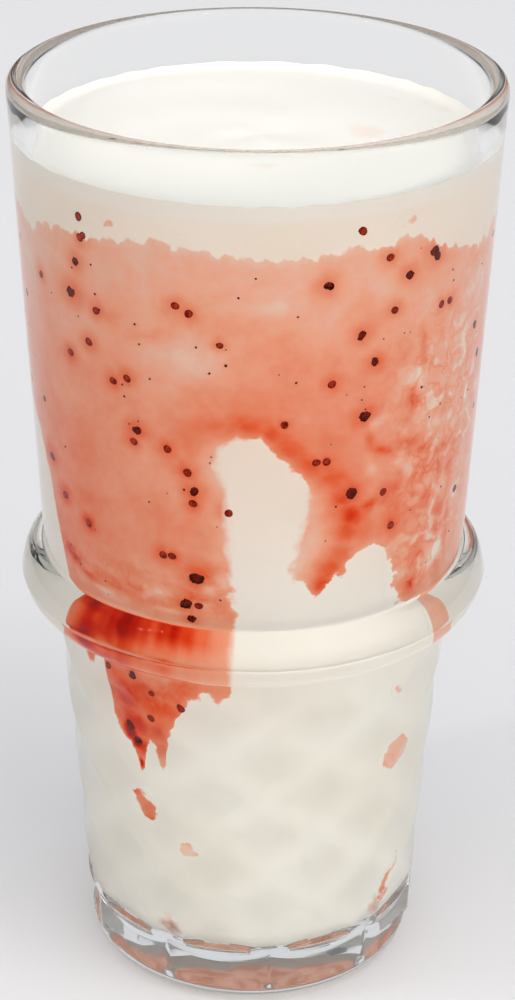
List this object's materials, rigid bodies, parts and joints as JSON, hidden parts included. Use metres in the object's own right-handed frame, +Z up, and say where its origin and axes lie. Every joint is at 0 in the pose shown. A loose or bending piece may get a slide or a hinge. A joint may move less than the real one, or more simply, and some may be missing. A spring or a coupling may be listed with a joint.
{
  "type": "glass of strawberry smoothie",
  "caption": "Pressed glass tumbler with a ring round its middle and a diamond lattice below, filled with milk drink and streaked inside with seeded strawberry puree.",
  "frame": {"origin": "middle of the flat foot, on the surface the glass stands on", "axes": "+Z up along the axis of the glass, -Y towards the shown front"},
  "size_m": [0.0746, 0.0746, 0.15],
  "materials": {
    "glass": "clear, pressed and fire polished",
    "drink": "opaque cream white liquid",
    "puree": "wet translucent strawberry puree with seeds"
  },
  "bodies": {
    "root": {"glass": "glass", "drink": "drink", "strawberry_puree": "puree", "puree_fleck_left": "puree", "puree_fleck_low": "puree", "puree_fleck_right": "puree"}
  },
  "joints": []
}
